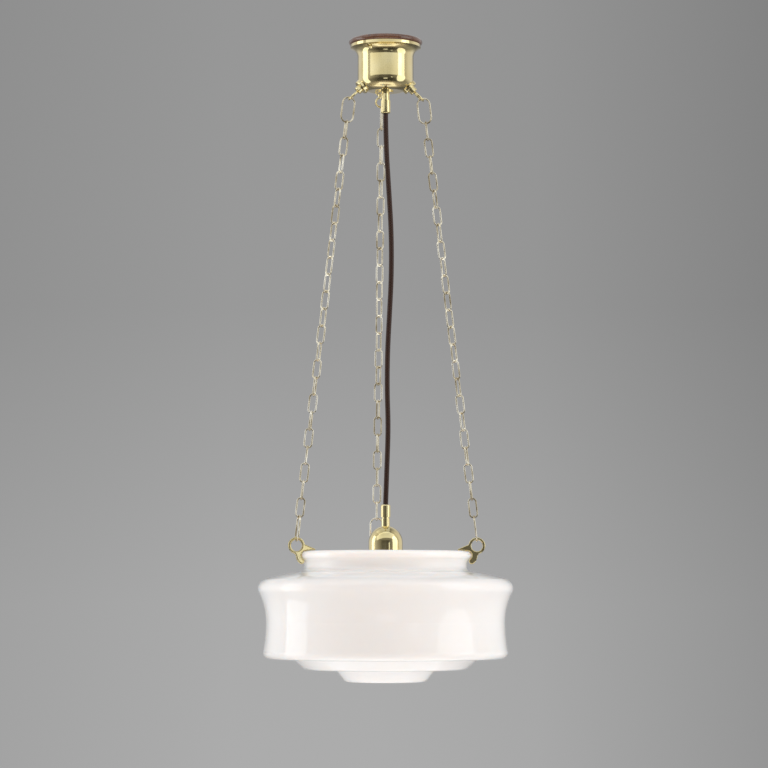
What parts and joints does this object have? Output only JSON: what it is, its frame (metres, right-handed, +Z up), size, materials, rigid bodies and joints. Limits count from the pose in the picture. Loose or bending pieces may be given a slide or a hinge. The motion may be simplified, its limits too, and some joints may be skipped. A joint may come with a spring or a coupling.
{
  "type": "pendant light",
  "caption": "Opal glass bowl pendant: chains with rim hooks carry a stepped shade below a brass rose, and a bayonet lamp holder hangs inside it on a flex.",
  "frame": {"origin": "centre of the wooden plate's upper face, which lies against the ceiling", "axes": "+Z up to the ceiling, +Y from the front of the light to its rear chain, +X to the right chain"},
  "size_m": [0.35, 0.35, 0.8892],
  "materials": {
    "brass": "polished, lacquered",
    "dark_wood": "dark stained and waxed",
    "opal_glass": "opal, glossy",
    "flex_sheath": "braided brown sleeve",
    "core_sheath": "smooth",
    "nylon": "moulded",
    "steel": "zinc plated",
    "porcelain": "moulded",
    "bulb_metal": "satin",
    "bulb_seal": "glassy black",
    "bulb_glass": "frosted white"
  },
  "bodies": {
    "rose": {"pattress": "dark_wood", "rose_cup": "brass", "rose_screws": "brass", "eye_rear": "brass", "eye_left": "brass", "eye_right": "brass", "eye_nuts": "brass", "rose_stem": "brass", "stem_locknut": "brass", "rose_cord_grip": "brass", "rose_grip_collet": "nylon", "terminal_block": "nylon", "terminal_screws": "steel", "flex_tail_upper": "flex_sheath", "rose_wires": "core_sheath"},
    "rear_link": {"chain_rear_top_link": "brass"},
    "rear_chain": {"chain_rear_links": "brass"},
    "rear_last_link": {"chain_rear_last_link": "brass"},
    "shade": {"hook_rear": "brass", "hook_left": "brass", "hook_right": "brass", "glass_shade": "opal_glass"},
    "left_link": {"chain_left_top_link": "brass"},
    "left_chain": {"chain_left_links": "brass", "chain_left_last_link": "brass"},
    "right_link": {"chain_right_top_link": "brass"},
    "right_chain": {"chain_right_links": "brass", "chain_right_last_link": "brass"},
    "lamp_drop": {"flex": "flex_sheath", "holder_cord_grip": "brass", "holder_grip_collet": "nylon", "holder_neck": "brass", "holder_neck_locknut": "brass", "holder_cap": "brass", "holder_shell": "brass", "holder_insulator": "porcelain", "holder_terminals": "brass", "holder_terminal_screws": "steel", "plunger_springs": "steel", "flex_tail_lower": "flex_sheath", "holder_wires": "core_sheath"},
    "plungers": {"holder_plungers": "brass"},
    "bulb": {"bulb_cap": "bulb_metal", "bulb_insulator": "bulb_seal", "bulb_contacts": "steel", "bulb_glass": "bulb_glass"}
  },
  "joints": [
    {"name": "shade_swing_front", "type": "hinge", "parent": "rose", "child": "rear_link", "pos_m": [0, 0.05199, -0.08569], "axis": [1, 0, 0], "range_deg": [-3.5, 3.5]},
    {"name": "shade_swing_side", "type": "hinge", "parent": "rear_link", "child": "rear_chain", "pos_m": [0, 0.05584, -0.11771], "axis": [0, 1, 0], "range_deg": [-3.5, 3.5]},
    {"name": "rear_last_link_lean", "type": "hinge", "parent": "rear_chain", "child": "rear_last_link", "pos_m": [0, 0.12132, -0.66345], "axis": [0, 1, 0], "range_deg": [-2, 2]},
    {"name": "shade_level", "type": "hinge", "parent": "rear_last_link", "child": "shade", "pos_m": [0, 0.1252, -0.69577], "axis": [1, 0, 0], "range_deg": [-2, 2]},
    {"name": "left_link_swing", "type": "hinge", "parent": "rose", "child": "left_link", "pos_m": [-0.05149, -0.00724, -0.08569], "axis": [1, 0, 0], "range_deg": [-3.6, 3.6]},
    {"name": "left_chain_swing", "type": "hinge", "parent": "left_link", "child": "left_chain", "pos_m": [-0.05529, -0.00777, -0.11771], "axis": [0, 1, 0], "range_deg": [-3.6, 3.6]},
    {"name": "right_link_swing", "type": "hinge", "parent": "rose", "child": "right_link", "pos_m": [0.05149, -0.00724, -0.08569], "axis": [1, 0, 0], "range_deg": [-3.6, 3.6]},
    {"name": "right_chain_swing", "type": "hinge", "parent": "right_link", "child": "right_chain", "pos_m": [0.05529, -0.00777, -0.11771], "axis": [0, 1, 0], "range_deg": [-3.6, 3.6]},
    {"name": "lamp_swing", "type": "hinge", "parent": "rose", "child": "lamp_drop", "pos_m": [0, 0, -0.1036], "axis": [1, 0, 0], "range_deg": [-2, 2]},
    {"name": "bulb_turn", "type": "hinge", "parent": "lamp_drop", "child": "bulb", "pos_m": [0, 0, -0.71196], "axis": [0, 0, 1], "range_deg": [-20, 0]},
    {"name": "plunger_press", "type": "slide", "parent": "lamp_drop", "child": "plungers", "axis": [0, 0, 1], "range_m": [0, 0.0015], "stiffness_N_per_m": 400, "deforming": ["plunger_springs"]}
  ],
  "couplings": [
    {"joint": "rear_last_link_lean", "follows": "shade_swing_side", "ratio": -0.44597},
    {"joint": "shade_level", "follows": "shade_swing_front", "ratio": -0.41528},
    {"joint": "left_link_swing", "follows": "shade_swing_front", "ratio": 1},
    {"joint": "right_link_swing", "follows": "shade_swing_front", "ratio": 1},
    {"joint": "left_chain_swing", "follows": "shade_swing_side", "ratio": 1},
    {"joint": "right_chain_swing", "follows": "shade_swing_side", "ratio": 1}
  ]
}
